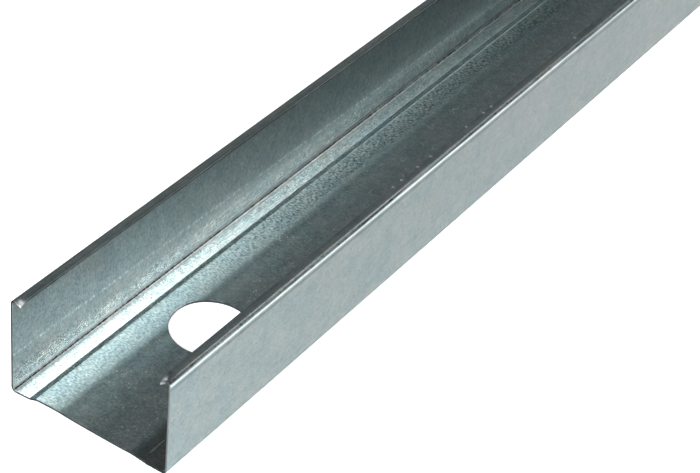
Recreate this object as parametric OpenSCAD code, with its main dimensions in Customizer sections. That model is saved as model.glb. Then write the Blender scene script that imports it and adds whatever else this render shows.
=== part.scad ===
// Drywall stud: one length of galvanised sheet, cold rolled into a lipped channel.
// It lies on its web with both flanges up. +X runs along the stud, +Y points to its left flange.
// The origin is the middle of its length, between the flanges, at the height of the web's underside.

/* [Stud] */
// Length of the stud
length = 2400; // [300:50:4000]
// Width over the outer faces of the two flanges
web_w = 50; // [45:1:150]
// Height of the flanges, from the web's underside to the top of the lips
flange_h = 30; // [20:0.1:60]
// Thickness of the sheet
sheet_t = 0.6; // [0.4:0.05:1.2]

/* [Flange bends and lips] */
// Inside radius of the bends between the web and the flanges
corner_r = 1.6; // [0.5:0.1:2.5]
// Inside radius of the bends between the flanges and the lips
lip_r = 0.7; // [0.4:0.1:2.5]
// Angle through which each lip is rolled in from its flange
lip_turn = 93; // [90:1:130]
// Straight end of each lip, past its bend
lip_flat = 1.95; // [0.2:0.05:8]

/* [Raised web] */
// Height of the web's raised middle above the strips beside the flanges
web_rise = 1.2; // [0.8:0.1:3]
// Width of the left strip, from the flange's outer face to the foot of its step
left_strip_w = 4.7; // [4:0.1:8]
// Width of the right strip, from the flange's outer face to the foot of its step
right_strip_w = 6.2; // [4:0.1:8]
// Fall of the left strip towards its flange
left_tilt = 9; // [0:1:9]
// Fall of the right strip towards its flange
right_tilt = 0; // [0:1:9]
// Slope of the left step
left_step_angle = 30; // [15:1:50]
// Slope of the right step
right_step_angle = 13; // [12:1:50]
// Inside radius of the bends at the head and the foot of each step
step_r = 0.6; // [0.3:0.1:1]

/* [Service holes] */
// Diameter of the holes punched through the middle of the web
hole_d = 22.5; // [10:0.1:26]
// Distance from each end of the stud to the centre of the nearest hole
hole_end = 51.5; // [20:0.5:100]
// Number of holes, spread evenly between the two end ones
hole_count = 5; // [2:1:12]

/* [Hidden] */
$fn = 96;
// Turn of each facet that makes up a bend
facet_turn = 9;
// Distance between the centres of neighbouring holes
hole_pitch = (length - 2 * hole_end) / (hole_count - 1);
// Height to which the web's top face rises
web_top = web_rise + sheet_t;
// Radii of the bends, measured to the middle of the sheet
corner_mid_r = corner_r + sheet_t / 2;
step_mid_r = step_r + sheet_t / 2;

// Length of the straight part of a strip, from the foot of its step to the corner under its flange
function strip_len(strip_w, tilt) =
    (strip_w - corner_r - sheet_t - corner_mid_r * sin(tilt)) / cos(tilt);

// Height of the middle of the sheet at the foot of a step
function foot_z(strip_w, tilt) =
    corner_r + sheet_t - corner_mid_r * cos(tilt) + strip_len(strip_w, tilt) * sin(tilt);

// Length of the straight slope between the two bends of a step
function slope_len(strip_w, tilt, angle) =
    let (bends_z = step_mid_r * (1 + cos(tilt) - 2 * cos(angle)))
    (web_rise + sheet_t / 2 - foot_z(strip_w, tilt) - bends_z) / sin(angle);

// Width that a step takes up, from its foot to its head
function step_w(strip_w, tilt, angle) =
    step_mid_r * (2 * sin(angle) - sin(tilt)) + slope_len(strip_w, tilt, angle) * cos(angle);

// The folds of one side, outwards from the head of its step: straight run, then turn, then inside radius
function side_folds(strip_w, tilt, angle) = [
    [0, -angle, step_r],
    [slope_len(strip_w, tilt, angle), angle - tilt, step_r],
    [strip_len(strip_w, tilt), 90 + tilt, corner_r],
    [flange_h - corner_r - lip_r - 2 * sheet_t, lip_turn, lip_r],
    [lip_flat, 0, 0]
];

// A station on the sheet's middle line is [across, up, heading]. This is the one a straight run further on.
function after_run(from, run) =
    [from[0] + run * cos(from[2]), from[1] + run * sin(from[2]), from[2]];

// The station at the end of a bend about an inside radius
function after_bend(from, turn, r) =
    let (mid_r = sign(turn) * (r + sheet_t / 2))
    [
        from[0] + mid_r * (sin(from[2] + turn) - sin(from[2])),
        from[1] - mid_r * (cos(from[2] + turn) - cos(from[2])),
        from[2] + turn
    ];

// All stations of a list of folds, walked from a first one
function stations(folds, from, i = 0) =
    i == len(folds) ? [] :
    let (
        start = after_run(from, folds[i][0]),
        turn = folds[i][1],
        steps = ceil(abs(turn) / facet_turn),
        last = after_bend(start, turn, folds[i][2])
    )
    concat(
        [start],
        [for (k = [1 : 1 : steps]) after_bend(start, turn * k / steps, folds[i][2])],
        stations(folds, last, i + 1)
    );

// The points of one face of the sheet, half its thickness to the left or right of the middle line
function face(line, way) =
    [for (s = line) [s[0] - way * sin(s[2]) * sheet_t / 2, s[1] + way * cos(s[2]) * sheet_t / 2]];

function backwards(points) =
    [for (i = [len(points) - 1 : -1 : 0]) points[i]];

function mirrored(points) =
    [for (p = points) [-p[0], p[1]]];

// The middle line of one side, from the head of its step to the edge of its lip
function side(strip_w, tilt, angle) =
    stations(
        side_folds(strip_w, tilt, angle),
        [web_w / 2 - strip_w - step_w(strip_w, tilt, angle), web_rise + sheet_t / 2, 0]
    );

// The section of the sheet, with the left side drawn along +X and up along +Y
module section() {
    left = side(left_strip_w, left_tilt, left_step_angle);
    right = side(right_strip_w, right_tilt, right_step_angle);
    polygon(concat(
        face(left, -1),
        backwards(face(left, 1)),
        mirrored(face(right, 1)),
        mirrored(backwards(face(right, -1)))
    ));
}

// One hole punch, standing through the web
module punch() {
    translate([0, 0, -web_top])
        cylinder(d = hole_d, h = 3 * web_top);
}

module stud() {
    color([0.52, 0.58, 0.59])
        difference() {
            rotate([90, 0, 90])
                linear_extrude(length, center = true)
                    section();
            for (i = [0 : hole_count - 1])
                translate([hole_end - length / 2 + i * hole_pitch, 0, 0])
                    punch();
        }
}

stud();
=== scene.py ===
# Drywall stud: galvanised sheet rolled into a lipped channel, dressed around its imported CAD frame.
import math

import bpy
import numpy as np
from bpy.props import FloatProperty, FloatVectorProperty, IntProperty, PointerProperty
from mathutils import Euler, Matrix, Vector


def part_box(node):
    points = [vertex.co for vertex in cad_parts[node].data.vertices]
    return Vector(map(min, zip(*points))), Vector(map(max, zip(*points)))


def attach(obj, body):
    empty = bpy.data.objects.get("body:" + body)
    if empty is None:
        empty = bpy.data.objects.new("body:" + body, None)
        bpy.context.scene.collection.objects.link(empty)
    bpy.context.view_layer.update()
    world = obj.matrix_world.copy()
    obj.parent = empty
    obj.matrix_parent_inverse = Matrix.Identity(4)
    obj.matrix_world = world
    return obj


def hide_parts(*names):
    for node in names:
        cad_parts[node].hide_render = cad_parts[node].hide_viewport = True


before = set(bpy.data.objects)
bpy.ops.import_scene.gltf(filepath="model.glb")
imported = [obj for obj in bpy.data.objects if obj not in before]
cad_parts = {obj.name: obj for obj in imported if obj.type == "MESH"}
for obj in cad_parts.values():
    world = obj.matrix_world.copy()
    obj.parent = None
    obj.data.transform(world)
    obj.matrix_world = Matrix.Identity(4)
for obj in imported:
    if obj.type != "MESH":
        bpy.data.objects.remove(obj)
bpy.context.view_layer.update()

bl_info = {
    "name": "Drywall Stud",
    "version": (1, 0, 0),
    "blender": (4, 5, 0),
    "location": "3D View > Sidebar > Stud",
    "description": "Builds a rolled, punched and galvanised drywall stud with its studio",
    "category": "Add Mesh",
}

MM = 0.001
LOW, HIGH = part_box("stud")


# Properties


def length_prop(name, text, default):
    return FloatProperty(
        name=name, description=text, default=default, min=0.0, precision=5, unit="LENGTH", subtype="DISTANCE"
    )


def angle_prop(name, text, degrees):
    return FloatProperty(
        name=name, description=text, default=math.radians(degrees), unit="ROTATION", subtype="ANGLE"
    )


def colour_prop(name, text, default):
    return FloatVectorProperty(
        name=name, description=text, default=default, size=3, min=0.0, max=1.0, subtype="COLOR"
    )


def factor_prop(name, text, default):
    return FloatProperty(name=name, description=text, default=default, min=0.0, max=1.0, subtype="FACTOR")


def power_prop(name, text, default):
    return FloatProperty(name=name, description=text, default=default, min=0.0, unit="POWER")


class StudShape(bpy.types.PropertyGroup):
    length: length_prop("Length", "Length of the stud", HIGH.x - LOW.x)
    width: length_prop("Width", "Width over the outer faces of the flanges", HIGH.y - LOW.y)
    height: length_prop("Height", "Height of the flanges, lips included", HIGH.z - LOW.z)
    sheet: length_prop("Sheet", "Thickness of the sheet", 0.6 * MM)
    corner_r: length_prop("Corner radius", "Inside radius of the bends beside the web", 1.0 * MM)
    lip_r: length_prop("Lip radius", "Inside radius of the bends between flanges and lips", 0.7 * MM)
    lip_turn: angle_prop("Lip turn", "Angle through which each lip is rolled in", 93)
    lip_flat: length_prop("Lip flat", "Straight end of each lip", 1.95 * MM)
    rise: length_prop("Web rise", "Height of the web's middle above the strips", 1.2 * MM)
    left_strip: length_prop("Left strip", "Width from the left flange to the foot of its step", 6.0 * MM)
    right_strip: length_prop("Right strip", "Width from the right flange to the foot of its step", 6.2 * MM)
    left_tilt: angle_prop("Left strip's tilt", "Fall of the left strip towards its flange", 3.5)
    right_tilt: angle_prop("Right strip's tilt", "Fall of the right strip towards its flange", 0)
    left_step: angle_prop("Left step", "Slope of the left step", 23)
    right_step: angle_prop("Right step", "Slope of the right step", 13)
    step_r: length_prop("Step radius", "Inside radius of the bends of each step", 0.5 * MM)
    hole_d: length_prop("Hole diameter", "Diameter of the service holes", 22.5 * MM)
    hole_end: length_prop("Hole to end", "Distance from each end to the nearest hole's centre", 51.5 * MM)
    hole_count: IntProperty(name="Holes", description="Number of service holes", default=5, min=2)
    burr: length_prop("Edge rounding", "Rounding left on the sheared and punched edges", 0.06 * MM)
    crown: length_prop("Crown", "Distance from the web's middle to its highest line, at the left", 12.0 * MM)
    left_fall: length_prop("Left fall", "Fall of the web from its highest line to the left step", 0.14 * MM)
    right_fall: length_prop("Right fall", "Fall of the web from its highest line to the right step", 0.62 * MM)
    nick: length_prop("Nick height", "Height of the small burrs on the right lip's free edge", 0.22 * MM)
    right_crush: length_prop("Right lip's crush", "How far its corner is bent down at the first end", 1.5 * MM)
    left_crush: length_prop("Left lip's crush", "How far its corner is bent down at the first end", 0.7 * MM)


class StudFinish(bpy.types.PropertyGroup):
    zinc: colour_prop("Zinc", "Colour of the brighter crystals", (0.455, 0.535, 0.545))
    dull: colour_prop("Dull zinc", "Colour of the duller crystals", (0.305, 0.38, 0.39))
    # Painted sheen: a lighter colour mixed into the strips.
    strip_sheen: colour_prop("Strip sheen", "Colour of the strips pressed by the rolls", (0.62, 0.635, 0.63))
    # The sheared faces' near-black colour is painted shade, and the right flange's end takes a lighter copy of
    # it.
    cut: colour_prop("Cut edge", "Colour of the bare sheared edges", (0.035, 0.035, 0.034))
    right_cut_shade: colour_prop("Right cut edge", "Colour of the right flange's sheared edge", (0.17, 0.18, 0.18))
    # Wear, with painted glint, on the burrs and the lips' knocked corners.
    wear_and_glint: colour_prop("Wear and glint", "Colour of the bright burrs and knocked corners", (0.80, 0.82, 0.82))
    # Painted shade: what the corners beside the web and the right flange's foot keep of their colour.
    shade_tint: colour_prop("Shade tint", "What the corners' grime leaves of the colour", (0.38, 0.38, 0.37))
    crystal: length_prop("Crystal size", "Size of the coating's crystals", 2.0 * MM)
    patch: length_prop("Patch size", "Size of the bluish and greenish patches", 7.0 * MM)
    dash: length_prop("Dash width", "Width of the short marks across the rolling direction", 0.4 * MM)
    relief: length_prop("Relief", "Depth of the coating's relief", 0.01 * MM)
    roughness: factor_prop("Roughness", "Mean roughness of the coating", 0.23)


class StudStudio(bpy.types.PropertyGroup):
    floor: colour_prop("Floor", "Colour of the floor", (0.86, 0.86, 0.86))
    key: power_prop("Key", "Power of the softbox past the stud's right side", 5.8)
    key_colour: colour_prop("Key colour", "Colour of the softbox past the right side", (1.0, 0.89, 0.86))
    top: power_prop("Top", "Power of the softbox above the far part of the stud", 1.15)
    far: power_prop("Far", "Power of the dim softbox for the far part of the stud", 0.4)
    low_right: power_prop("Low right", "Power of the low lamp behind the camera, at the right", 5.9)
    low_left: power_prop("Low left", "Power of the low lamp behind the camera, at the left", 2.8)
    back: power_prop("Back", "Power of the lamp straight before the cut end", 1.0)
    low_colour: colour_prop("Low colour", "Colour of the low lamps", (0.96, 0.99, 1.0))
    ceiling: factor_prop("Ceiling", "Level of the ceiling's dim light", 0.2)


# Section of the rolled sheet

# Distances of the small burrs on the right lip from the first end
NICKS = np.array([102.8, 107.1, 115.4, 122.1, 141.3, 150.9, 155.2, 205.2]) * MM

BEND_STEP = math.radians(6)
PATCH_HALF = 13 * MM
RIM_STEPS = 96
SIDE_STEPS = RIM_STEPS // 4
RUN_STEPS = 6


def tan_spacing():
    """Distances from a hole's centre at which evenly spread rays meet the side of a square around it:
    half the square's side times the tangent of the ray's angle."""
    return PATCH_HALF * np.tan(np.linspace(-math.pi / 4, math.pi / 4, SIDE_STEPS + 1))


def after_run(start, length, steps):
    """Stations along a straight run: the start plus a share of the length along its heading."""
    share = np.linspace(0, length, steps + 1)[1:]
    y, z, heading = start
    return np.stack(
        [y + share * math.cos(heading), z + share * math.sin(heading), np.full(steps, heading)], axis=1
    )


def after_bend(start, turn, inside_r, sheet):
    """Stations around a bend: the middle line follows a circle of the inside radius plus half the sheet,
    so each station is the start plus that radius times the change in the heading's sine and cosine."""
    steps = max(4, math.ceil(abs(turn) / BEND_STEP))
    y, z, heading = start
    middle_r = math.copysign(inside_r + sheet / 2, turn)
    angles = heading + np.linspace(0, turn, steps + 1)[1:]
    return np.stack(
        [
            y + middle_r * (np.sin(angles) - math.sin(heading)),
            z - middle_r * (np.cos(angles) - math.cos(heading)),
            angles,
        ],
        axis=1,
    )


def side_line(shape, strip, angle, tilt):
    """Middle line of one side as (across, up, heading), from the web's middle to the edge of the lip: a walk
    along its folds, down the step, along the strip, round the corner, up the flange and round the lip."""
    corner_r = shape.corner_r + shape.sheet / 2
    bend_r = shape.step_r + shape.sheet / 2
    corner_start = shape.width / 2 - shape.corner_r - shape.sheet - corner_r * math.sin(tilt)
    corner_low = shape.corner_r + shape.sheet - corner_r * math.cos(tilt)
    strip_run = (corner_start - shape.width / 2 + strip) / math.cos(tilt)
    middle_z = shape.rise + shape.sheet / 2
    drop = middle_z - corner_low - strip_run * math.sin(tilt)
    slope = (drop - bend_r * (1 + math.cos(tilt) - 2 * math.cos(angle))) / math.sin(angle)
    step_width = bend_r * (2 * math.sin(angle) - math.sin(tilt)) + slope * math.cos(angle)
    head = shape.width / 2 - strip - step_width
    flange = shape.height - shape.corner_r - shape.lip_r - 2 * shape.sheet
    folds = (
        (0, 0, -angle, shape.step_r),
        (slope, 2, angle - tilt, shape.step_r),
        (strip_run, 3, math.pi / 2 + tilt, shape.corner_r),
        (flange, RUN_STEPS, shape.lip_turn, shape.lip_r),
        (shape.lip_flat, 2, 0, 0),
    )
    web = tan_spacing()[SIDE_STEPS // 2 :]
    web = np.concatenate([web, np.linspace(PATCH_HALF, head, 4)[1:]])
    parts = [np.stack([web, np.full(len(web), middle_z), np.zeros(len(web))], axis=1)]
    for run, steps, turn, radius in folds:
        if steps:
            parts.append(after_run(parts[-1][-1], run, steps))
        if turn:
            parts.append(after_bend(parts[-1][-1], turn, radius, shape.sheet))
    return np.concatenate(parts)


def middle_line(shape):
    """Middle line of the whole sheet, from the edge of the right lip to the edge of the left one. The right
    side is the mirror image of a left one, walked backwards, so its headings change sign."""
    left = side_line(shape, shape.left_strip, shape.left_step, shape.left_tilt)
    right = side_line(shape, shape.right_strip, shape.right_step, shape.right_tilt) * (-1, 1, -1)
    return np.concatenate([right[:0:-1], left])


def section_loop(line, shape, inset):
    """Closed loop of (across, up) points around the sheet: the inner face, the left lip's edge, the outer
    face and the right lip's edge. Each point is the middle line moved along its normal by half the sheet
    less the inset, and the two lip edges are drawn back along the sheet to leave their small rounding."""
    heading = line[:, 2]
    along = np.stack([np.cos(heading), np.sin(heading)], axis=1)
    normal = np.stack([-np.sin(heading), np.cos(heading)], axis=1)
    middle = line[:, :2].copy()
    back = shape.burr + 0.6 * inset
    middle[0] += along[0] * back
    middle[-1] -= along[-1] * back
    half = shape.sheet / 2 - inset
    inner = middle + normal * half
    outer = middle - normal * half
    edge_half = shape.sheet / 2 - shape.burr - 0.6 * inset
    left = line[-1, :2] - along[-1] * inset
    right = line[0, :2] + along[0] * inset
    left_edge = np.stack([left + normal[-1] * edge_half, left - normal[-1] * edge_half])
    right_edge = np.stack([right - normal[0] * edge_half, right + normal[0] * edge_half])
    return np.concatenate([inner, left_edge, outer[::-1], right_edge])


def hole_places(shape):
    reach = shape.length / 2 - shape.hole_end
    return np.linspace(-reach, reach, shape.hole_count)


def rows_along(shape):
    """Places along the stud: both cut ends with their rounding, the rays of each hole's square, and even
    steps between these, short ones near the first end."""
    half = shape.length / 2
    near_end = np.array([shape.burr, 0.4 * MM, 1 * MM, 2 * MM, 4 * MM, 8 * MM])
    stops = [np.array([-half]), near_end - half]
    for place in hole_places(shape):
        stops.append(place + tan_spacing())
    stops.append(half - near_end[::-1])
    stops.append(np.array([half]))
    rows = [stops[0]]
    for stop in stops[1:]:
        gap = stop[0] - rows[-1][-1]
        pitch = 10 * MM if stop[0] < -half + 0.4 else 30 * MM
        steps = max(1, math.ceil(gap / pitch))
        rows.append(np.linspace(rows[-1][-1], stop[0], steps + 1)[1:])
        rows.append(stop[1:])
    beside = np.array([-0.9, -0.45, -0.2, 0, 0.2, 0.45, 0.9]) * MM
    burrs = (NICKS[:, None] - half + beside).ravel()
    return np.unique(np.round(np.concatenate(rows + [burrs]), 7))


def quads(a, b, c, d):
    return np.stack([a, b, c, d], axis=-1).reshape(-1, 4)


def square_boundary(row, first_row, station, first_station):
    """Row and station numbers around a hole's square, in the order of the angle from the stud's axis,
    starting at minus 45 degrees."""
    up = np.arange(SIDE_STEPS)
    low = np.zeros(SIDE_STEPS, int)
    high = np.full(SIDE_STEPS, SIDE_STEPS)
    rows = np.concatenate([high, SIDE_STEPS - up, low, up]) + first_row
    stations = np.concatenate([up, high, SIDE_STEPS - up, low]) + first_station
    return rows, stations


def rolled_sheet(shape):
    """Points, faces and a mark for the sheared faces of the whole stud. The section's closed loop is carried
    along X, and each hole's square is filled with rings that pass evenly from the square to the circle."""
    line = middle_line(shape)
    count = len(line)
    rows = rows_along(shape)
    full = section_loop(line, shape, 0)
    inset = section_loop(line, shape, shape.burr)
    loop = len(full)
    section = np.repeat(full[None], len(rows), axis=0)
    section[0] = inset
    section[-1] = inset
    points = np.concatenate([np.repeat(rows[:, None, None], loop, axis=1), section], axis=2).reshape(-1, 3)
    ident = np.arange(len(rows) * loop).reshape(len(rows), loop)
    ahead = np.roll(ident, -1, axis=1)
    cells = np.stack([ident[:-1], ident[1:], ahead[1:], ahead[:-1]], axis=-1)
    keep = np.ones(cells.shape[:2], bool)

    level = np.abs(line[:, 1] - shape.rise - shape.sheet / 2) < 0.1 * MM
    web_first = int(np.argmin(np.where(level, np.abs(line[:, 0] + PATCH_HALF), 1.0)))
    inner_cells = web_first + np.arange(SIDE_STEPS)
    outer_cells = 2 * count + 1 - web_first - SIDE_STEPS + np.arange(SIDE_STEPS)
    places = hole_places(shape)
    ring_faces = []
    wall_faces = []
    new_points = []
    total = len(points)
    theta = np.linspace(0, 2 * math.pi, RIM_STEPS, endpoint=False) - math.pi / 4
    circle = np.stack([np.cos(theta), np.sin(theta)], axis=1)
    share = np.array([0.25, 0.5, 0.72, 0.9, 1.0])
    radius = shape.hole_d / 2
    for place in places:
        first_row = int(np.argmin(np.abs(rows - place + PATCH_HALF)))
        keep[first_row : first_row + SIDE_STEPS, inner_cells] = False
        keep[first_row : first_row + SIDE_STEPS, outer_cells] = False
        row_id, station_id = square_boundary(0, first_row, 0, web_first)
        walls = []
        for face_id, side in ((station_id, 1), (2 * count + 1 - station_id, -1)):
            border = ident[row_id, face_id]
            border_xy = points[border][:, :2]
            rim = np.array([place, 0]) + circle * (radius + shape.burr)
            xy = border_xy[None] + share[:, None, None] * (rim - border_xy)[None]
            z = points[border[0], 2]
            wall_xy = np.array([place, 0]) + circle * radius
            ring_z = np.full((len(share), RIM_STEPS, 1), z)
            wall_z = np.full((1, RIM_STEPS, 1), z - side * shape.burr)
            rings = np.concatenate(
                [np.concatenate([xy, ring_z], axis=2), np.concatenate([wall_xy[None], wall_z], axis=2)]
            )
            ring_id = total + np.arange(rings.shape[0] * RIM_STEPS).reshape(-1, RIM_STEPS)
            total += ring_id.size
            new_points.append(rings.reshape(-1, 3))
            stack = np.concatenate([border[None], ring_id])
            turned = np.roll(stack, -1, axis=1)
            faces = quads(stack[:-1], turned[:-1], turned[1:], stack[1:])
            ring_faces.append(faces if side > 0 else faces[:, ::-1])
            walls.append(stack[-1])
        top, bottom = walls
        wall_faces.append(quads(top, np.roll(top, -1), np.roll(bottom, -1), bottom))

    grid = cells[keep]
    mid = np.arange(count - 1)
    caps = []
    for row, flip in ((0, False), (len(rows) - 1, True)):
        inner = ident[row, :count]
        outer = ident[row, 2 * count + 1 : count + 1 : -1]
        last = 2 * count + 1
        left_edge = ident[row, [count - 1, count, count + 1, count + 2]]
        right_edge = ident[row, [last, last + 1, last + 2, 0]]
        edges = np.stack([left_edge, right_edge])
        cap = np.concatenate([quads(inner[mid], inner[mid + 1], outer[mid + 1], outer[mid]), edges])
        caps.append(cap[:, ::-1] if flip else cap)
    sheared = np.concatenate(caps + wall_faces)
    faces = np.concatenate([grid] + ring_faces + [sheared])
    cut = np.zeros(len(faces), np.float32)
    cut[-len(sheared) :] = 1
    station = np.broadcast_to(np.arange(loop), keep.shape)[keep]
    # The lips' free edges take part of that painted shade.
    lip_edge = (np.abs(station - count) <= 1) | (station >= 2 * count + 1)
    cut[: len(grid)] = 0.35 * lip_edge
    top = np.concatenate([np.full(len(ring), 1 - k % 2) for k, ring in enumerate(ring_faces)])
    inside = np.concatenate([station < count - 1, top, np.zeros(len(sheared))]).astype(np.float32)
    return np.concatenate([points] + new_points), faces, cut, inside


def settled(points, shape):
    """The points with the web bowed as the rolls leave it. Its height falls from its highest line as the
    square of the distance towards the left step, and more steeply towards the right one, flattening out on
    the way, and each step takes its side's fall up again."""
    across = points[:, 1]
    left_foot = shape.width / 2 - shape.left_strip
    left_head = left_foot - 2.6 * MM
    left = np.clip((across - shape.crown) / (left_head - shape.crown), 0, 1)
    left_back = np.clip((left_foot - across) / (left_foot - left_head), 0, 1)
    bend = np.clip((shape.crown - across) / (5.0 * MM), 0, 1)
    run = np.clip((shape.crown - across) / (shape.crown + 13.0 * MM), 0, 1)
    right = (1 - (1 - run) ** 2) * (0.4 + 0.6 * bend) * bend
    right_back = np.clip((across + 18.8 * MM) / (7.0 * MM), 0, 1)
    right_back = right_back**2 * (3 - 2 * right_back)
    low = points[:, 2] < shape.rise + 2 * shape.sheet
    moved = points.copy()
    fall = shape.left_fall * left**2 * left_back + shape.right_fall * right * right_back
    moved[:, 2] -= np.where(low, fall, 0)
    return moved


def knocked(points, shape):
    """The points with the lips' knocks, and each point's share of wear and painted glint. Each burr moves the
    right lip's free edge outwards by its height times a bell curve of the distance along the stud. At the
    first end each lip is bent down by its crush times the square of the distance from its bend and the square
    of the nearness to the end. The share is high at the burrs and the lips' knocked corners, by a bell curve
    of the distance: real wear with painted glint."""
    moved = points.copy()
    wear_and_glint = np.zeros(len(points))
    along = points[:, 0] + shape.length / 2
    up = points[:, 2] > shape.height - 1.5 * MM
    lip_w = shape.lip_flat + shape.lip_r + shape.sheet
    for side, crush, reach in ((-1, shape.right_crush, 4.5 * MM), (1, shape.left_crush, 2.5 * MM)):
        share = np.clip((shape.width / 2 - side * points[:, 1]) / lip_w, 0, 1)
        share = np.where(up & (side * points[:, 1] > 0), share, 0)
        moved[:, 2] -= crush * share**2 * np.clip(1 - along / reach, 0, 1) ** 2
        corner = np.hypot(along - 0.9 * MM, (1 - share) * lip_w - 0.5 * MM)
        wear_and_glint += np.where(share > 0.3, np.exp(-((corner / (0.9 * MM)) ** 2)), 0)
        if side < 0:
            edge = np.clip(share * 4 - 3, 0, 1)
            bell = np.exp(-(((along[:, None] - NICKS) / (0.35 * MM)) ** 2)).sum(axis=1)
            moved[:, 1] += shape.nick * edge * bell
            moved[:, 2] += 0.4 * shape.nick * edge * bell
            wear_and_glint += edge * bell
    return moved, np.clip(wear_and_glint, 0, 1)


def make_mesh(name, points, faces, marks):
    """A mesh object from arrays of points and four-sided faces, with one number a face or a point kept under
    each mark's name."""
    mesh = bpy.data.meshes.new(name)
    mesh.vertices.add(len(points))
    mesh.vertices.foreach_set("co", points.astype(np.float32).ravel())
    mesh.loops.add(faces.size)
    mesh.loops.foreach_set("vertex_index", faces.astype(np.int32).ravel())
    mesh.polygons.add(len(faces))
    mesh.polygons.foreach_set("loop_start", np.arange(0, faces.size, 4, dtype=np.int32))
    mesh.update(calc_edges=True)
    for mark, values in marks.items():
        layer = mesh.attributes.new(mark, "FLOAT", "FACE" if len(values) == len(faces) else "POINT")
        layer.data.foreach_set("value", np.asarray(values, np.float32))
    mesh.polygons.foreach_set("use_smooth", np.ones(len(faces), bool))
    mesh.set_sharp_from_angle(angle=math.radians(30))
    piece = bpy.data.objects.new(name, mesh)
    bpy.context.scene.collection.objects.link(piece)
    return piece


# Shader helpers


def add(tree, kind, inputs=None, **settings):
    """A node of that kind with its settings, and its inputs filled with values or linked from sockets."""
    node = tree.nodes.new(kind)
    for name, value in settings.items():
        setattr(node, name, value)
    for name, value in (inputs or {}).items():
        socket = node.inputs[name]
        if isinstance(value, bpy.types.NodeSocket):
            tree.links.new(value, socket)
        else:
            socket.default_value = value
    return node


def new_group(name, inputs, outputs):
    """An empty node group with named float, vector or colour sockets, and its input and output nodes."""
    group = bpy.data.node_groups.new(name, "ShaderNodeTree")
    for socket, kind in inputs:
        group.interface.new_socket(socket, in_out="INPUT", socket_type=kind)
    for socket, kind in outputs:
        group.interface.new_socket(socket, in_out="OUTPUT", socket_type=kind)
    return group, group.nodes.new("NodeGroupInput"), group.nodes.new("NodeGroupOutput")


def maths(tree, operation, a, b=0.0, clamp=False):
    node = add(tree, "ShaderNodeMath", {0: a, 1: b}, operation=operation, use_clamp=clamp)
    return node.outputs[0]


def ramp(tree, value, low, high, to_low=0.0, to_high=1.0):
    node = add(
        tree,
        "ShaderNodeMapRange",
        {"Value": value, "From Min": low, "From Max": high, "To Min": to_low, "To Max": to_high},
        interpolation_type="SMOOTHSTEP",
    )
    return node.outputs["Result"]


def between(tree, value, low, high, soft):
    """One where the value lies from low to high, fading over twice the soft distance at each side."""
    rise = ramp(tree, value, low - soft, low + soft)
    fall = ramp(tree, value, high - soft, high + soft, 1.0, 0.0)
    return maths(tree, "MULTIPLY", rise, fall)


def weighted(tree, start, *pairs):
    """The start plus each value times its weight."""
    total = start
    for value, weight in pairs:
        total = maths(tree, "ADD", total, maths(tree, "MULTIPLY", value, weight))
    return total


def stretched(tree, vector, size, along, across):
    """The place in units of the size, squeezed along the stud and across it, so that a pattern on it is
    drawn out in the squeezed directions."""
    factors = (along / size, across / size, across / size)
    return add(tree, "ShaderNodeVectorMath", {0: vector, 1: factors}, operation="MULTIPLY").outputs[0]


def noise(tree, vector, detail=2.0, roughness=0.5):
    node = add(
        tree, "ShaderNodeTexNoise", {"Vector": vector, "Scale": 1.0, "Detail": detail, "Roughness": roughness}
    )
    return node.outputs["Fac"]


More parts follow.
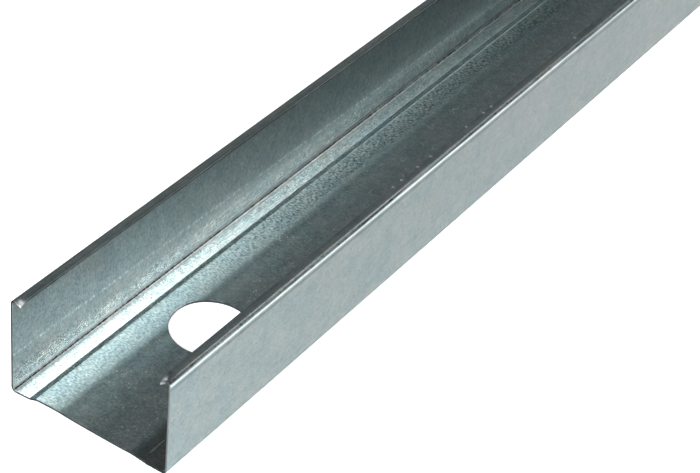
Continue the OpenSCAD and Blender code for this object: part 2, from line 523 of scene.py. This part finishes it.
def zones_group(shape):
    """Masks by the place across and up the section, for the roughness, the marks and the painted light and
    shade: the strips, the band beside the left step, that step, the lips, the upper part of the lips' bends,
    the line of painted highlight just below these bends and the band of painted shade below it, the corners
    beside the web and the crease in them, the strip and step at the right that take painted shade, and the
    flanges."""
    names = ("Strip", "Band", "Step", "Lip", "Bend", "Highlight line", "Shade band", "Corner", "Crease", "Right shade", "Flange")
    group, given, made = new_group(
        "rolled_zones", (("Vector", "NodeSocketVector"),), tuple((name, "NodeSocketFloat") for name in names)
    )
    split = add(group, "ShaderNodeSeparateXYZ", {0: given.outputs["Vector"]})
    across = split.outputs["Y"]
    up = split.outputs["Z"]
    left_foot = shape.width / 2 - shape.left_strip
    right_foot = shape.right_strip - shape.width / 2
    low = ramp(group, up, 2.0 * MM, 3.0 * MM, 1.0, 0.0)
    left = ramp(group, across, left_foot - 0.3 * MM, left_foot + 0.1 * MM)
    right = ramp(group, across, right_foot - 0.1 * MM, right_foot + 0.3 * MM, 1.0, 0.0)
    left_band = between(group, across, 10.0 * MM, left_foot - 2.0 * MM, 1.5 * MM)
    sideways = maths(group, "ABSOLUTE", across)
    outer = ramp(group, sideways, shape.width / 2 - 1.3 * MM, shape.width / 2 - 0.7 * MM)
    bent = ramp(group, sideways, shape.width / 2 - 1.35 * MM, shape.width / 2 - 1.1 * MM)
    # Painted shade at the right flange's foot, over the strip and step.
    right_shade = ramp(group, across, -11.5 * MM, -16.0 * MM)
    lowest = ramp(group, up, 0.95 * MM, 1.15 * MM, 1.0, 0.0)
    left_step = between(group, across, left_foot - 2.5 * MM, left_foot - 0.5 * MM, 0.35 * MM)
    values = (
        maths(group, "MULTIPLY", maths(group, "ADD", left, right), lowest),
        maths(group, "MULTIPLY", left_band, low),
        maths(group, "MULTIPLY", left_step, low),
        ramp(group, up, shape.height - 1.2 * MM, shape.height - 0.7 * MM),
        # The lips' bends take painted shade, a line below them a painted highlight, and a band below that
        # painted shade.
        between(group, up, shape.height - 0.60 * MM, shape.height - 0.10 * MM, 0.12 * MM),
        between(group, up, shape.height - 1.35 * MM, shape.height - 0.75 * MM, 0.15 * MM),
        between(group, up, shape.height - 2.7 * MM, shape.height - 1.85 * MM, 0.35 * MM),
        # Corners beside the web take painted shade, and the crease in them a stronger painted shade.
        maths(group, "MULTIPLY", bent, between(group, up, 1.1 * MM, 2.2 * MM, 0.3 * MM)),
        maths(group, "MULTIPLY", bent, between(group, up, 0.70 * MM, 1.0 * MM, 0.07 * MM)),
        maths(group, "MULTIPLY", right_shade, low),
        maths(group, "MULTIPLY", outer, between(group, up, 7.0 * MM, shape.height - 1.5 * MM, 1.5 * MM)),
    )
    for name, value in zip(names, values):
        group.links.new(value, made.inputs[name])
    return group


def spangle_group():
    """Crystals of the zinc: a tone for each cell of a bent cell pattern, smaller cells inside them, dark arcs
    along parts of the cells' borders, wide patches of hue, and a fine grain."""
    names = ("Tone", "Small", "Rim", "Patch", "Grain")
    group, given, made = new_group(
        "zinc_spangle",
        (("Vector", "NodeSocketVector"), ("Crystal", "NodeSocketFloat"), ("Wide", "NodeSocketFloat")),
        tuple((name, "NodeSocketFloat") for name in names),
    )
    place = given.outputs["Vector"]
    scale = maths(group, "DIVIDE", 1.0, given.outputs["Crystal"])
    bend = add(group, "ShaderNodeTexNoise", {"Vector": place, "Scale": scale, "Detail": 2.0})
    middle = (0.5, 0.5, 0.5)
    shift = add(group, "ShaderNodeVectorMath", {0: bend.outputs["Color"], 1: middle}, operation="SUBTRACT")
    reach = maths(group, "MULTIPLY", given.outputs["Crystal"], 1.6)
    moved = add(group, "ShaderNodeVectorMath", {0: shift.outputs[0], "Scale": reach}, operation="SCALE")
    where = add(group, "ShaderNodeVectorMath", {0: place, 1: moved.outputs[0]}, operation="ADD").outputs[0]
    cells = add(group, "ShaderNodeTexVoronoi", {"Vector": where, "Scale": scale})
    edges = add(group, "ShaderNodeTexVoronoi", {"Vector": where, "Scale": scale}, feature="DISTANCE_TO_EDGE")
    tone = add(group, "ShaderNodeSeparateColor", {"Color": cells.outputs["Color"]}).outputs["Red"]
    smaller = maths(group, "MULTIPLY", scale, 2.4)
    little = add(group, "ShaderNodeTexVoronoi", {"Vector": where, "Scale": smaller})
    small = add(group, "ShaderNodeSeparateColor", {"Color": little.outputs["Color"]}).outputs["Green"]
    chance = add(group, "ShaderNodeTexNoise", {"Vector": place, "Scale": scale})
    part = ramp(group, chance.outputs["Fac"], 0.48, 0.58)
    rim = maths(group, "MULTIPLY", ramp(group, edges.outputs["Distance"], 0.02, 0.09, 1.0, 0.0), part)
    wide = maths(group, "DIVIDE", 1.0, given.outputs["Wide"])
    patch = add(group, "ShaderNodeTexNoise", {"Vector": place, "Scale": wide, "Detail": 1.0}).outputs["Fac"]
    fine = maths(group, "MULTIPLY", scale, 5.5)
    finest = {"Vector": place, "Scale": fine, "Detail": 3.0, "Roughness": 0.6}
    grain = add(group, "ShaderNodeTexNoise", finest)
    for name, value in zip(names, (tone, small, rim, ramp(group, patch, 0.32, 0.68), grain.outputs["Fac"])):
        group.links.new(value, made.inputs[name])
    return group


def roll_marks_group(dash):
    """Marks of the rolls: dashes across the rolling direction, long lines along it, and dark specks."""
    group, given, made = new_group(
        "roll_marks",
        (("Vector", "NodeSocketVector"),),
        (("Dash", "NodeSocketFloat"), ("Line", "NodeSocketFloat"), ("Speck", "NodeSocketFloat")),
    )
    place = given.outputs["Vector"]
    dashes = noise(group, stretched(group, place, dash, 0.9, 0.42), 3.0, 0.6)
    lines = noise(group, stretched(group, place, 0.3 * MM, 0.012, 1.0), 2.0, 0.5)
    spots = add(group, "ShaderNodeTexVoronoi", {"Vector": place, "Scale": 1 / (2.6 * MM)})
    chosen = add(group, "ShaderNodeSeparateColor", {"Color": spots.outputs["Color"]}).outputs["Green"]
    speck = maths(
        group,
        "MULTIPLY",
        ramp(group, spots.outputs["Distance"], 0.05, 0.10, 1.0, 0.0),
        ramp(group, chosen, 0.66, 0.72),
    )
    group.links.new(ramp(group, dashes, 0.34, 0.66), made.inputs["Dash"])
    group.links.new(ramp(group, lines, 0.3, 0.7), made.inputs["Line"])
    group.links.new(speck, made.inputs["Speck"])
    return group


def mixed_colour(tree, share, first, second, blend="MIX"):
    node = add(tree, "ShaderNodeMix", {"Factor": share}, data_type="RGBA", blend_type=blend)
    for socket, value in ((node.inputs[6], first), (node.inputs[7], second)):
        if isinstance(value, bpy.types.NodeSocket):
            tree.links.new(value, socket)
        else:
            socket.default_value = (*value, 1)
    return node.outputs[2]


def galvanised(shape, finish):
    """Zinc coating: crystals and roll marks set the colour, the roughness and a shallow relief. Painted shade
    and painted highlights are laid into the colour by zone, and the sheared faces take a dark colour as
    painted shade."""
    material = bpy.data.materials.new("galvanised_steel")
    material.use_nodes = True
    tree = material.node_tree
    shader = tree.nodes["Principled BSDF"]
    place = add(tree, "ShaderNodeTexCoord").outputs["Object"]
    split = add(tree, "ShaderNodeSeparateXYZ", {0: place})
    zones = add(tree, "ShaderNodeGroup", node_tree=zones_group(shape))
    spangle = add(tree, "ShaderNodeGroup", node_tree=spangle_group())
    marks = add(tree, "ShaderNodeGroup", node_tree=roll_marks_group(finish.dash))
    for node in (zones, spangle, marks):
        tree.links.new(place, node.inputs["Vector"])
    spangle.inputs["Crystal"].default_value = finish.crystal
    spangle.inputs["Wide"].default_value = finish.patch
    bare = add(tree, "ShaderNodeAttribute", attribute_name="cut").outputs["Fac"]
    inside = add(tree, "ShaderNodeAttribute", attribute_name="inside").outputs["Fac"]
    wear_and_glint = add(tree, "ShaderNodeAttribute", attribute_name="wear_and_glint").outputs["Fac"]
    zone = zones.outputs
    crystal = spangle.outputs
    dash = maths(tree, "MULTIPLY", maths(tree, "SUBTRACT", marks.outputs["Dash"], 0.5), inside)
    line = maths(tree, "SUBTRACT", marks.outputs["Line"], 0.5)
    # Lines along the stud: faint roll lines everywhere, and stronger on the lips, where they are painted
    # reflections.
    lines_and_reflections = maths(tree, "MULTIPLY", line, weighted(tree, 0.35, (zone["Lip"], 1.0)))
    grain = maths(tree, "SUBTRACT", crystal["Grain"], 0.5)

    gone = maths(tree, "SUBTRACT", split.outputs["X"], LOW.x)

    tone = weighted(
        tree,
        -0.05,
        (crystal["Tone"], 0.30),
        (crystal["Small"], 0.30),
        (crystal["Patch"], 0.2),
        (crystal["Grain"], 0.3),
    )
    colour = mixed_colour(tree, tone, finish.dull, finish.zinc)
    # Painted sheen on the strips, strongest at the first end and fading along the stud.
    strip_sheen = maths(tree, "MULTIPLY", zone["Strip"], ramp(tree, gone, 0.06, 0.22, 0.45, 0.1))
    colour = mixed_colour(tree, strip_sheen, colour, finish.strip_sheen)
    hue = mixed_colour(tree, crystal["Patch"], (0.95, 1.0, 1.02), (1.0, 1.0, 0.985))
    colour = mixed_colour(tree, 1.0, colour, hue, "MULTIPLY")
    lower = weighted(tree, split.outputs["Z"], (gone, 0.0135))
    upper = weighted(tree, split.outputs["Z"], (gone, 0.02))
    rows = maths(
        tree,
        "ADD",
        between(tree, lower, 6.5 * MM, 7.5 * MM, 0.5 * MM),
        between(tree, upper, 11.8 * MM, 12.3 * MM, 0.35 * MM),
    )
    rows = maths(tree, "MULTIPLY", rows, weighted(tree, 0.16, (maths(tree, "MAXIMUM", dash, 0.0), 1.6)))
    rows = maths(tree, "MULTIPLY", rows, maths(tree, "MULTIPLY", zone["Flange"], inside))
    # Painted highlight: a lighter line on the outer faces just below the lips' bends, fading along the stud.
    highlight_line = maths(tree, "MULTIPLY", zone["Highlight line"], ramp(tree, gone, 0.10, 0.32, 0.75, 0.0))
    highlight_line = maths(tree, "MULTIPLY", highlight_line, weighted(tree, 0.5, (marks.outputs["Line"], 1.0)))
    outside = weighted(tree, 1.0, (inside, -1.0))
    # The dashes are roll marks; drawn deeper on the band and the strips, they also stand in as painted flecks
    # of highlight.
    dash_depth = weighted(tree, 0.36, (zone["Band"], 0.32), (zone["Strip"], 0.10))
    shade = weighted(
        tree,
        1.0,
        (crystal["Rim"], -0.14),
        (grain, 0.65),
        (maths(tree, "MULTIPLY", dash, dash_depth), 1.0),
        (lines_and_reflections, 0.22),
        (rows, 1.0),
        (marks.outputs["Speck"], -0.38),
        # Painted shade on the upper part of the lips' bends, hiding the key lamp's reflection there.
        (zone["Bend"], -0.78),
        # Painted shade on the band beside the left step, growing along the stud.
        (maths(tree, "MULTIPLY", zone["Band"], ramp(tree, gone, 0.02, 0.14, 0.08, 0.50)), -1.0),
        # Painted shade on the left step near the first end, and painted light on it further along.
        (maths(tree, "MULTIPLY", zone["Step"], ramp(tree, gone, 0.06, 0.25, -0.28, 0.8)), inside),
        # Painted highlight just below the lips' bends, on the outer faces.
        (maths(tree, "MULTIPLY", highlight_line, outside), 1.0),
        # Painted shade on the outer faces just below the painted highlight.
        (maths(tree, "MULTIPLY", zone["Shade band"], outside), -0.34),
        # Painted shade in the crease of the corners beside the web, hiding the key lamp's glint there.
        (maths(tree, "MULTIPLY", zone["Crease"], inside), -0.90),
    )
    colour = add(tree, "ShaderNodeVectorMath", {0: colour, "Scale": shade}, operation="SCALE").outputs[0]
    # Painted shade in the corners beside the web and at the right flange's foot.
    shade_share = maths(tree, "MAXIMUM", maths(tree, "MULTIPLY", zone["Corner"], 0.75), zone["Right shade"])
    shade_share = maths(tree, "MULTIPLY", shade_share, inside)
    colour = mixed_colour(tree, shade_share, colour, mixed_colour(tree, 1.0, colour, finish.shade_tint, "MULTIPLY"))
    scratch = maths(
        tree,
        "MULTIPLY",
        between(tree, split.outputs["X"], LOW.x + 3.2 * MM, LOW.x + 9.4 * MM, 0.5 * MM),
        between(tree, split.outputs["Y"], -17.3 * MM, -17.1 * MM, 0.12 * MM),
    )
    colour = mixed_colour(tree, scratch, colour, finish.zinc)
    # Painted shade on the sheared faces: near black, and a lighter copy on the right flange's end.
    near_side = ramp(tree, split.outputs["Y"], -24.3 * MM, -24.7 * MM)
    colour = mixed_colour(tree, bare, colour, mixed_colour(tree, near_side, finish.cut, finish.right_cut_shade))
    # Wear, with painted glint, on the burrs and the lips' knocked corners.
    colour = mixed_colour(tree, wear_and_glint, colour, finish.wear_and_glint)
    tree.links.new(colour, shader.inputs["Base Color"])

    rough = weighted(
        tree,
        finish.roughness,
        (grain, 0.10),
        (crystal["Tone"], 0.03),
        (zone["Strip"], -0.04),
        (zone["Lip"], 0.06),
        (zone["Corner"], 0.08),
        (zone["Bend"], 0.25),
        (maths(tree, "MULTIPLY", zone["Crease"], inside), 0.30),
        (maths(tree, "MULTIPLY", zone["Flange"], inside), 0.10),
        (bare, 0.28),
        (wear_and_glint, 0.40),
    )
    tree.links.new(rough, shader.inputs["Roughness"])
    depth = weighted(tree, 0.25, (zone["Band"], 0.8), (zone["Strip"], 0.5))
    height = weighted(
        tree,
        0.0,
        (maths(tree, "MULTIPLY", dash, depth), 1.0),
        (crystal["Tone"], 0.15),
        (grain, 0.5),
        (lines_and_reflections, 0.5),
    )
    relief = add(tree, "ShaderNodeBump", {"Height": height, "Strength": 1.0, "Distance": finish.relief})
    tree.links.new(relief.outputs["Normal"], shader.inputs["Normal"])
    shader.inputs["Metallic"].default_value = 1.0
    return material


# Studio


def softbox(name, power, size, bearing, rise, distance, colour=(1, 1, 1)):
    """A square lamp facing the stud's first end from a bearing around it, a rise above the floor and a
    distance, the two angles in degrees."""
    data = bpy.data.lights.new(name, "AREA")
    data.shape = "SQUARE"
    data.size = size
    data.energy = power
    data.color = colour
    lamp = bpy.data.objects.new(name, data)
    flat = math.cos(math.radians(rise)) * distance
    turn = math.radians(bearing)
    aim = (LOW.x + 0.05, 0, 0.01)
    lamp.location = (
        aim[0] + flat * math.cos(turn),
        aim[1] + flat * math.sin(turn),
        aim[2] + math.sin(math.radians(rise)) * distance,
    )
    lamp.rotation_euler = Euler((math.radians(90 - rise), 0, turn + math.pi / 2))
    bpy.context.scene.collection.objects.link(lamp)
    return lamp


def floor_material(studio):
    """Pale floor that keeps shadows. Away from the stud it's lifted to white, where the camera or a
    reflection sees it: the lift rises with the distance from the stud's sides or its first end."""
    material = bpy.data.materials.new("studio_floor")
    material.use_nodes = True
    tree = material.node_tree
    shader = tree.nodes["Principled BSDF"]
    shader.inputs["Base Color"].default_value = (*studio.floor, 1)
    shader.inputs["Roughness"].default_value = 0.9
    shader.inputs["Specular IOR Level"].default_value = 0.0
    shader.inputs["Emission Color"].default_value = (1, 1, 1, 1)
    place = add(tree, "ShaderNodeTexCoord").outputs["Object"]
    split = add(tree, "ShaderNodeSeparateXYZ", {0: place})
    beside = maths(tree, "SUBTRACT", maths(tree, "ABSOLUTE", split.outputs["Y"]), HIGH.y)
    before = maths(tree, "SUBTRACT", LOW.x, split.outputs["X"])
    outwards = maths(tree, "MAXIMUM", beside, before)
    path = add(tree, "ShaderNodeLightPath")
    mirrored = maths(tree, "MAXIMUM", path.outputs["Is Glossy Ray"], path.outputs["Is Transmission Ray"])
    mirrored = maths(tree, "MULTIPLY", mirrored, ramp(tree, outwards, 0.035, 0.08))
    lift = ramp(tree, outwards, 0.0, 0.05, 0.85, 1.0)
    direct = maths(tree, "MULTIPLY", path.outputs["Is Camera Ray"], lift)
    tree.links.new(maths(tree, "ADD", mirrored, direct), shader.inputs["Emission Strength"])
    return material


def studio_world(level):
    """A dim ceiling over dark walls, by the height of the ray."""
    world = bpy.data.worlds.new("studio")
    bpy.context.scene.world = world
    world.use_nodes = True
    tree = world.node_tree
    background = tree.nodes["Background"]
    direction = add(tree, "ShaderNodeTexCoord").outputs["Generated"]
    height = add(tree, "ShaderNodeSeparateXYZ", {0: direction}).outputs["Z"]
    tree.links.new(ramp(tree, height, 0.25, 0.45, 0.0, level), background.inputs["Strength"])
    background.inputs["Color"].default_value = (1, 1, 1, 1)


# Operators


class STUD_OT_sheet(bpy.types.Operator):
    """Roll, punch and cut the galvanised sheet"""

    bl_idname = "stud.sheet"
    bl_label = "Rolled sheet"

    def execute(self, context):
        shape = context.scene.stud_shape
        points, faces, cut, inside = rolled_sheet(shape)
        points, wear_and_glint = knocked(settled(points, shape), shape)
        piece = make_mesh("rolled_sheet", points, faces, {"cut": cut, "inside": inside, "wear_and_glint": wear_and_glint})
        piece.data.materials.append(galvanised(shape, context.scene.stud_finish))
        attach(piece, "root")
        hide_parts("stud")
        return {"FINISHED"}


class STUD_OT_studio(bpy.types.Operator):
    """Set the camera, the floor and the lamps"""

    bl_idname = "stud.studio"
    bl_label = "Studio"

    def execute(self, context):
        scene = context.scene
        studio = scene.stud_studio
        data = bpy.data.cameras.new("camera")
        data.sensor_fit = "HORIZONTAL"
        data.sensor_width = 36.0
        data.lens = 111.132
        data.clip_start = 0.01
        camera = bpy.data.objects.new("camera", data)
        camera.location = (-1.517159, -0.252933, 0.369327)
        camera.rotation_euler = Euler([math.radians(turn) for turn in (53.10363, -4.99424, -56.21952)])
        scene.collection.objects.link(camera)
        scene.camera = camera

        half = 12.0
        corners = np.array([[-half, -half, 0], [half, -half, 0], [half, half, 0], [-half, half, 0]])
        corners[:, 2] = LOW.z - 0.05 * MM
        floor = make_mesh("floor", corners, np.array([[0, 1, 2, 3]]), {})
        floor.data.materials.append(floor_material(studio))

        softbox("key_lamp", studio.key, 0.32, -51, 30.5, 1.0, studio.key_colour)
        softbox("top_lamp", studio.top, 0.36, -18, 47, 1.0, studio.key_colour)
        softbox("far_lamp", studio.far, 0.39, -36, 27, 1.3, studio.key_colour)
        softbox("low_right_lamp", studio.low_right, 0.18, -165, 12, 0.6, studio.low_colour)
        softbox("low_left_lamp", studio.low_left, 0.21, 160, 10, 0.7, studio.low_colour)
        softbox("back_lamp", studio.back, 0.21, 180, 20, 0.7, studio.low_colour)
        studio_world(studio.ceiling)
        scene.view_settings.view_transform = "Standard"
        return {"FINISHED"}


class STUD_PT_panel(bpy.types.Panel):
    """The stud's sizes and finish, and what builds it"""

    bl_idname = "STUD_PT_panel"
    bl_label = "Drywall stud"
    bl_space_type = "VIEW_3D"
    bl_region_type = "UI"
    bl_category = "Stud"

    def draw(self, context):
        scene = context.scene
        for group in (scene.stud_shape, scene.stud_finish, scene.stud_studio):
            box = self.layout.box()
            for name in group.__annotations__:
                box.prop(group, name)
        self.layout.operator("stud.sheet")
        self.layout.operator("stud.studio")


CLASSES = (StudShape, StudFinish, StudStudio, STUD_OT_sheet, STUD_OT_studio, STUD_PT_panel)


def register():
    for cls in CLASSES:
        bpy.utils.register_class(cls)
    bpy.types.Scene.stud_shape = PointerProperty(type=StudShape)
    bpy.types.Scene.stud_finish = PointerProperty(type=StudFinish)
    bpy.types.Scene.stud_studio = PointerProperty(type=StudStudio)


def unregister():
    del bpy.types.Scene.stud_shape
    del bpy.types.Scene.stud_finish
    del bpy.types.Scene.stud_studio
    for cls in reversed(CLASSES):
        bpy.utils.unregister_class(cls)


def main():
    register()
    bpy.ops.stud.studio()
    bpy.ops.stud.sheet()


if __name__ == "__main__":
    main()
